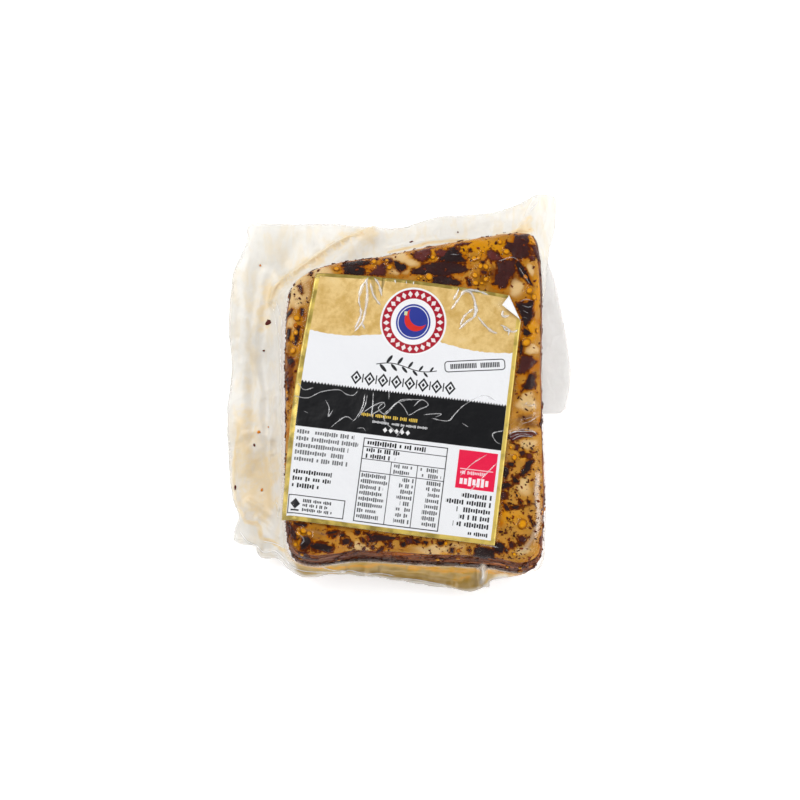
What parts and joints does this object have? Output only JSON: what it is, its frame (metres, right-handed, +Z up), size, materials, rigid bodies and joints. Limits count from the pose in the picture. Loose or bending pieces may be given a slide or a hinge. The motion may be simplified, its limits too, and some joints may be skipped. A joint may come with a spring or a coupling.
{
  "type": "vacuum-packed pancetta",
  "caption": "Flat squarish block of chilli-crusted pancetta, sealed tight in a clear vacuum bag with loose crumpled margins and a printed paper label with a folded corner.",
  "frame": {"origin": "middle of the pack's footprint, on the surface that it lies on", "axes": "+Z up out of the label, +Y from the near edge to the far edge of the pack, +X to the right"},
  "size_m": [0.1522, 0.1796, 0.038],
  "materials": {
    "packed_meat": "cured pork belly with a dark chilli crust, tight under glossy clear film",
    "label_paper": "satin printed paper, gold, white and black"
  },
  "bodies": {
    "root": {"sealed_pack": "packed_meat", "label": "label_paper"}
  },
  "joints": []
}
